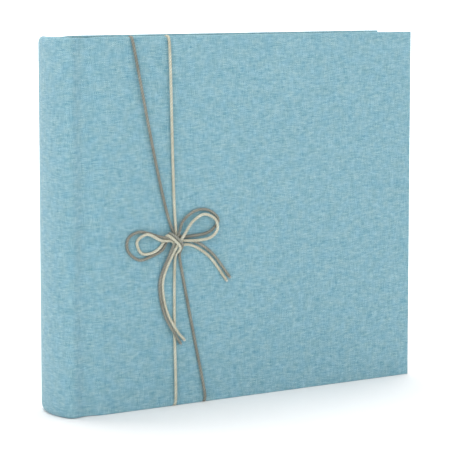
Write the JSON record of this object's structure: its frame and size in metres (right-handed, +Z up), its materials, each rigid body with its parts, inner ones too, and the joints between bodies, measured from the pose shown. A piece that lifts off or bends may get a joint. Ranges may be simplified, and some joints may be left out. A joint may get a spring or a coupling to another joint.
{
  "type": "scrapbook album",
  "caption": "Book-bound scrapbook album with a rounded cloth spine, hinged cloth covers, fanning card leaves on guards and a double cord bow tied round the front cover.",
  "frame": {"origin": "middle of the closed album's footprint, on the surface that it stands on", "axes": "+X from the spine to the fore edge, +Y from the front cover to the back cover, +Z up from the tail edge to the head edge"},
  "size_m": [0.327, 0.0581, 0.2905],
  "materials": {
    "book_cloth": "matte linen weave in sky blue and off-white",
    "cream_cord": "twisted cotton cord, natural cream",
    "taupe_cord": "twisted cotton cord, grey-brown",
    "grey_board": "pressed grey board",
    "spine_card": "flexible spine card",
    "mull": "open cotton gauze under glue",
    "guard_card": "uncoated card",
    "band_cotton": "woven cotton band",
    "endpaper": "smooth uncoated paper",
    "page_card": "matte lightly felted card"
  },
  "bodies": {
    "page_block": {"spine_cloth": "book_cloth", "spine_liner": "spine_card", "spine_mull": "mull", "page_guards": "guard_card", "head_band": "band_cotton", "tail_band": "band_cotton"},
    "front_cover": {"front_board": "grey_board", "front_cloth": "book_cloth", "front_pastedown": "endpaper", "cream_cord": "cream_cord", "taupe_cord": "taupe_cord"},
    "back_cover": {"back_board": "grey_board", "back_cloth": "book_cloth", "back_pastedown": "endpaper"},
    "front_flyleaf": {"front_flyleaf": "endpaper"},
    "leaf_01": {"leaf_01": "page_card"},
    "leaf_02": {"leaf_02": "page_card"},
    "leaf_03": {"leaf_03": "page_card"},
    "leaf_04": {"leaf_04": "page_card"},
    "leaf_05": {"leaf_05": "page_card"},
    "leaf_06": {"leaf_06": "page_card"},
    "leaf_07": {"leaf_07": "page_card"},
    "leaf_08": {"leaf_08": "page_card"},
    "leaf_09": {"leaf_09": "page_card"},
    "leaf_10": {"leaf_10": "page_card"},
    "leaf_11": {"leaf_11": "page_card"},
    "leaf_12": {"leaf_12": "page_card"},
    "leaf_13": {"leaf_13": "page_card"},
    "leaf_14": {"leaf_14": "page_card"},
    "leaf_15": {"leaf_15": "page_card"},
    "leaf_16": {"leaf_16": "page_card"},
    "leaf_17": {"leaf_17": "page_card"},
    "leaf_18": {"leaf_18": "page_card"},
    "leaf_19": {"leaf_19": "page_card"},
    "leaf_20": {"leaf_20": "page_card"},
    "leaf_21": {"leaf_21": "page_card"},
    "leaf_22": {"leaf_22": "page_card"},
    "leaf_23": {"leaf_23": "page_card"},
    "leaf_24": {"leaf_24": "page_card"},
    "leaf_25": {"leaf_25": "page_card"},
    "leaf_26": {"leaf_26": "page_card"},
    "leaf_27": {"leaf_27": "page_card"},
    "leaf_28": {"leaf_28": "page_card"},
    "leaf_29": {"leaf_29": "page_card"},
    "leaf_30": {"leaf_30": "page_card"},
    "back_flyleaf": {"back_flyleaf": "endpaper"}
  },
  "joints": [
    {"name": "front_cover_hinge", "type": "hinge", "parent": "page_block", "child": "front_cover", "pos_m": [-0.1415, -0.0253, 0.145], "axis": [0, 0, -1], "range_deg": [0, 175]},
    {"name": "back_cover_hinge", "type": "hinge", "parent": "page_block", "child": "back_cover", "pos_m": [-0.1415, 0.0253, 0.145], "axis": [0, 0, 1], "range_deg": [0, 175]},
    {"name": "front_flyleaf_turn", "type": "hinge", "parent": "page_block", "child": "front_flyleaf", "pos_m": [-0.1345, -0.0158, 0.145], "axis": [0, 0, -1], "range_deg": [0, 63]},
    {"name": "leaf_01_turn", "type": "hinge", "parent": "page_block", "child": "leaf_01", "pos_m": [-0.1345, -0.01463, 0.145], "axis": [0, 0, -1], "range_deg": [0, 59.06]},
    {"name": "leaf_02_turn", "type": "hinge", "parent": "page_block", "child": "leaf_02", "pos_m": [-0.1345, -0.01346, 0.145], "axis": [0, 0, -1], "range_deg": [0, 55.12]},
    {"name": "leaf_03_turn", "type": "hinge", "parent": "page_block", "child": "leaf_03", "pos_m": [-0.1345, -0.0123, 0.145], "axis": [0, 0, -1], "range_deg": [0, 51.19]},
    {"name": "leaf_04_turn", "type": "hinge", "parent": "page_block", "child": "leaf_04", "pos_m": [-0.1345, -0.01113, 0.145], "axis": [0, 0, -1], "range_deg": [0, 47.25]},
    {"name": "leaf_05_turn", "type": "hinge", "parent": "page_block", "child": "leaf_05", "pos_m": [-0.1345, -0.00996, 0.145], "axis": [0, 0, -1], "range_deg": [0, 43.31]},
    {"name": "leaf_06_turn", "type": "hinge", "parent": "page_block", "child": "leaf_06", "pos_m": [-0.1345, -0.00879, 0.145], "axis": [0, 0, -1], "range_deg": [0, 39.38]},
    {"name": "leaf_07_turn", "type": "hinge", "parent": "page_block", "child": "leaf_07", "pos_m": [-0.1345, -0.00763, 0.145], "axis": [0, 0, -1], "range_deg": [0, 35.44]},
    {"name": "leaf_08_turn", "type": "hinge", "parent": "page_block", "child": "leaf_08", "pos_m": [-0.1345, -0.00646, 0.145], "axis": [0, 0, -1], "range_deg": [0, 31.5]},
    {"name": "leaf_09_turn", "type": "hinge", "parent": "page_block", "child": "leaf_09", "pos_m": [-0.1345, -0.00529, 0.145], "axis": [0, 0, -1], "range_deg": [0, 27.56]},
    {"name": "leaf_10_turn", "type": "hinge", "parent": "page_block", "child": "leaf_10", "pos_m": [-0.1345, -0.00412, 0.145], "axis": [0, 0, -1], "range_deg": [0, 23.62]},
    {"name": "leaf_11_turn", "type": "hinge", "parent": "page_block", "child": "leaf_11", "pos_m": [-0.1345, -0.00296, 0.145], "axis": [0, 0, -1], "range_deg": [0, 19.69]},
    {"name": "leaf_12_turn", "type": "hinge", "parent": "page_block", "child": "leaf_12", "pos_m": [-0.1345, -0.00179, 0.145], "axis": [0, 0, -1], "range_deg": [0, 15.75]},
    {"name": "leaf_13_turn", "type": "hinge", "parent": "page_block", "child": "leaf_13", "pos_m": [-0.1345, -0.00062, 0.145], "axis": [0, 0, -1], "range_deg": [0, 11.81]},
    {"name": "leaf_14_turn", "type": "hinge", "parent": "page_block", "child": "leaf_14", "pos_m": [-0.1345, 0.00055, 0.145], "axis": [0, 0, -1], "range_deg": [0, 7.88]},
    {"name": "leaf_15_turn", "type": "hinge", "parent": "page_block", "child": "leaf_15", "pos_m": [-0.1345, 0.00172, 0.145], "axis": [0, 0, -1], "range_deg": [0, 3.94]},
    {"name": "leaf_16_turn", "type": "hinge", "parent": "page_block", "child": "leaf_16", "pos_m": [-0.1345, 0.00288, 0.145], "axis": [0, 0, 1], "range_deg": [0, 3.94]},
    {"name": "leaf_17_turn", "type": "hinge", "parent": "page_block", "child": "leaf_17", "pos_m": [-0.1345, 0.00405, 0.145], "axis": [0, 0, 1], "range_deg": [0, 7.88]},
    {"name": "leaf_18_turn", "type": "hinge", "parent": "page_block", "child": "leaf_18", "pos_m": [-0.1345, 0.00522, 0.145], "axis": [0, 0, 1], "range_deg": [0, 11.81]},
    {"name": "leaf_19_turn", "type": "hinge", "parent": "page_block", "child": "leaf_19", "pos_m": [-0.1345, 0.00639, 0.145], "axis": [0, 0, 1], "range_deg": [0, 15.75]},
    {"name": "leaf_20_turn", "type": "hinge", "parent": "page_block", "child": "leaf_20", "pos_m": [-0.1345, 0.00756, 0.145], "axis": [0, 0, 1], "range_deg": [0, 19.69]},
    {"name": "leaf_21_turn", "type": "hinge", "parent": "page_block", "child": "leaf_21", "pos_m": [-0.1345, 0.00872, 0.145], "axis": [0, 0, 1], "range_deg": [0, 23.62]},
    {"name": "leaf_22_turn", "type": "hinge", "parent": "page_block", "child": "leaf_22", "pos_m": [-0.1345, 0.00989, 0.145], "axis": [0, 0, 1], "range_deg": [0, 27.56]},
    {"name": "leaf_23_turn", "type": "hinge", "parent": "page_block", "child": "leaf_23", "pos_m": [-0.1345, 0.01106, 0.145], "axis": [0, 0, 1], "range_deg": [0, 31.5]},
    {"name": "leaf_24_turn", "type": "hinge", "parent": "page_block", "child": "leaf_24", "pos_m": [-0.1345, 0.01223, 0.145], "axis": [0, 0, 1], "range_deg": [0, 35.44]},
    {"name": "leaf_25_turn", "type": "hinge", "parent": "page_block", "child": "leaf_25", "pos_m": [-0.1345, 0.01339, 0.145], "axis": [0, 0, 1], "range_deg": [0, 39.38]},
    {"name": "leaf_26_turn", "type": "hinge", "parent": "page_block", "child": "leaf_26", "pos_m": [-0.1345, 0.01456, 0.145], "axis": [0, 0, 1], "range_deg": [0, 43.31]},
    {"name": "leaf_27_turn", "type": "hinge", "parent": "page_block", "child": "leaf_27", "pos_m": [-0.1345, 0.01573, 0.145], "axis": [0, 0, 1], "range_deg": [0, 47.25]},
    {"name": "leaf_28_turn", "type": "hinge", "parent": "page_block", "child": "leaf_28", "pos_m": [-0.1345, 0.0169, 0.145], "axis": [0, 0, 1], "range_deg": [0, 51.19]},
    {"name": "leaf_29_turn", "type": "hinge", "parent": "page_block", "child": "leaf_29", "pos_m": [-0.1345, 0.01807, 0.145], "axis": [0, 0, 1], "range_deg": [0, 55.12]},
    {"name": "leaf_30_turn", "type": "hinge", "parent": "page_block", "child": "leaf_30", "pos_m": [-0.1345, 0.01923, 0.145], "axis": [0, 0, 1], "range_deg": [0, 59.06]},
    {"name": "back_flyleaf_turn", "type": "hinge", "parent": "page_block", "child": "back_flyleaf", "pos_m": [-0.1345, 0.0204, 0.145], "axis": [0, 0, 1], "range_deg": [0, 63]}
  ],
  "couplings": [
    {"joint": "front_flyleaf_turn", "follows": "front_cover_hinge", "ratio": 0.36},
    {"joint": "leaf_01_turn", "follows": "front_cover_hinge", "ratio": 0.3375},
    {"joint": "leaf_02_turn", "follows": "front_cover_hinge", "ratio": 0.315},
    {"joint": "leaf_03_turn", "follows": "front_cover_hinge", "ratio": 0.2925},
    {"joint": "leaf_04_turn", "follows": "front_cover_hinge", "ratio": 0.27},
    {"joint": "leaf_05_turn", "follows": "front_cover_hinge", "ratio": 0.2475},
    {"joint": "leaf_06_turn", "follows": "front_cover_hinge", "ratio": 0.225},
    {"joint": "leaf_07_turn", "follows": "front_cover_hinge", "ratio": 0.2025},
    {"joint": "leaf_08_turn", "follows": "front_cover_hinge", "ratio": 0.18},
    {"joint": "leaf_09_turn", "follows": "front_cover_hinge", "ratio": 0.1575},
    {"joint": "leaf_10_turn", "follows": "front_cover_hinge", "ratio": 0.135},
    {"joint": "leaf_11_turn", "follows": "front_cover_hinge", "ratio": 0.1125},
    {"joint": "leaf_12_turn", "follows": "front_cover_hinge", "ratio": 0.09},
    {"joint": "leaf_13_turn", "follows": "front_cover_hinge", "ratio": 0.0675},
    {"joint": "leaf_14_turn", "follows": "front_cover_hinge", "ratio": 0.045},
    {"joint": "leaf_15_turn", "follows": "front_cover_hinge", "ratio": 0.0225},
    {"joint": "leaf_16_turn", "follows": "back_cover_hinge", "ratio": 0.0225},
    {"joint": "leaf_17_turn", "follows": "back_cover_hinge", "ratio": 0.045},
    {"joint": "leaf_18_turn", "follows": "back_cover_hinge", "ratio": 0.0675},
    {"joint": "leaf_19_turn", "follows": "back_cover_hinge", "ratio": 0.09},
    {"joint": "leaf_20_turn", "follows": "back_cover_hinge", "ratio": 0.1125},
    {"joint": "leaf_21_turn", "follows": "back_cover_hinge", "ratio": 0.135},
    {"joint": "leaf_22_turn", "follows": "back_cover_hinge", "ratio": 0.1575},
    {"joint": "leaf_23_turn", "follows": "back_cover_hinge", "ratio": 0.18},
    {"joint": "leaf_24_turn", "follows": "back_cover_hinge", "ratio": 0.2025},
    {"joint": "leaf_25_turn", "follows": "back_cover_hinge", "ratio": 0.225},
    {"joint": "leaf_26_turn", "follows": "back_cover_hinge", "ratio": 0.2475},
    {"joint": "leaf_27_turn", "follows": "back_cover_hinge", "ratio": 0.27},
    {"joint": "leaf_28_turn", "follows": "back_cover_hinge", "ratio": 0.2925},
    {"joint": "leaf_29_turn", "follows": "back_cover_hinge", "ratio": 0.315},
    {"joint": "leaf_30_turn", "follows": "back_cover_hinge", "ratio": 0.3375},
    {"joint": "back_flyleaf_turn", "follows": "back_cover_hinge", "ratio": 0.36}
  ]
}
